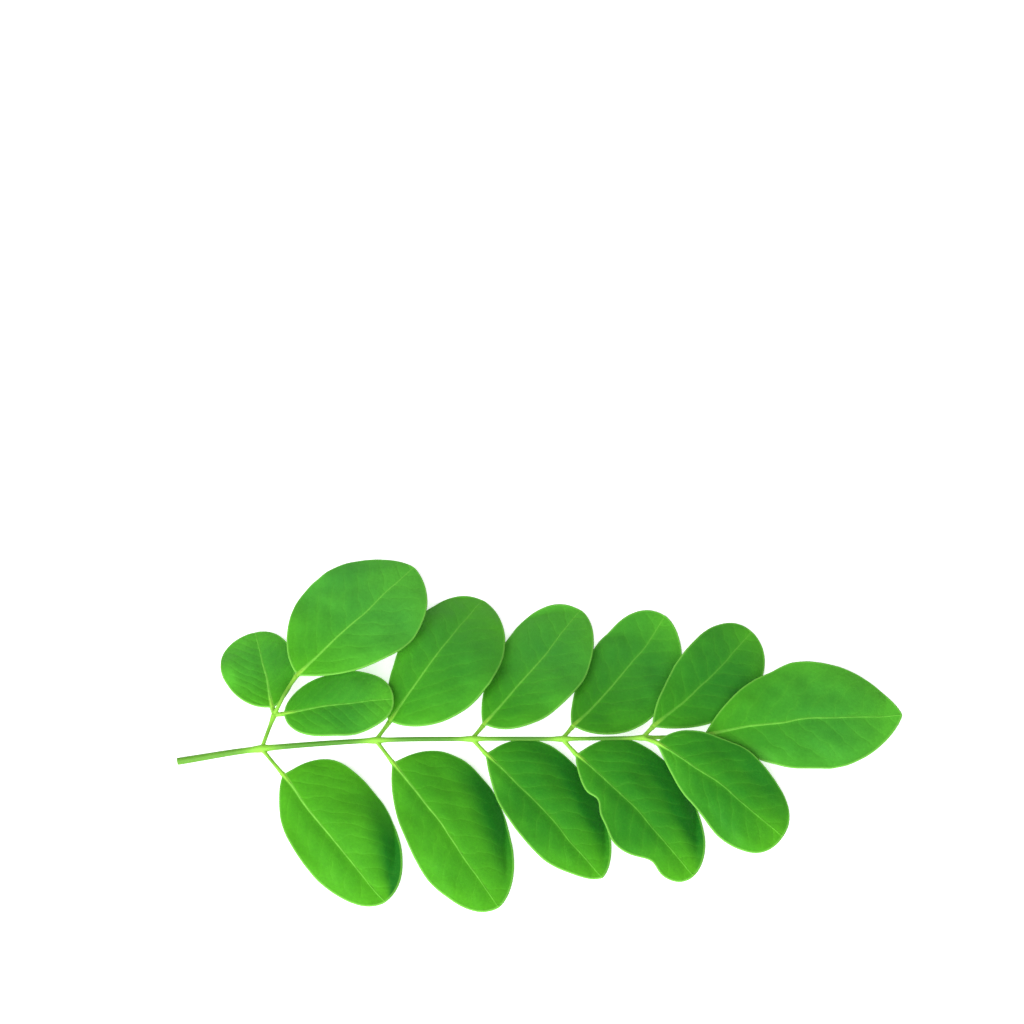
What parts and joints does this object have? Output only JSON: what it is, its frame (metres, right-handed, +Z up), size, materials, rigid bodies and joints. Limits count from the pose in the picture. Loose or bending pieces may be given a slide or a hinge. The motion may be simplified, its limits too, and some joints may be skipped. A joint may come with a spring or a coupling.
{
  "type": "moringa leaf sprig",
  "caption": "Cut moringa leaf sprig lying flat: a thin pale stalk with rows of oval green leaflets on both sides, a small side branch of leaflets and a larger leaflet at its end.",
  "frame": {"origin": "under the middle of the sprig's box, on the surface that it lies on", "axes": "+X along the stalk from its cut end to the end leaflet, +Y towards the row with the side branch, +Z up"},
  "size_m": [0.0906, 0.0475, 0.0054],
  "materials": {
    "leaflet": "satin",
    "stalk": "satin"
  },
  "bodies": {
    "root": {"stalk": "stalk", "leaflet_front_1": "leaflet", "leaflet_front_2": "leaflet", "leaflet_front_3": "leaflet", "leaflet_front_4": "leaflet", "leaflet_front_5": "leaflet", "leaflet_back_2": "leaflet", "leaflet_back_3": "leaflet", "leaflet_back_4": "leaflet", "leaflet_back_5": "leaflet", "leaflet_end": "leaflet", "side_leaflet_end": "leaflet", "side_leaflet_left": "leaflet", "side_leaflet_right": "leaflet"}
  },
  "joints": []
}
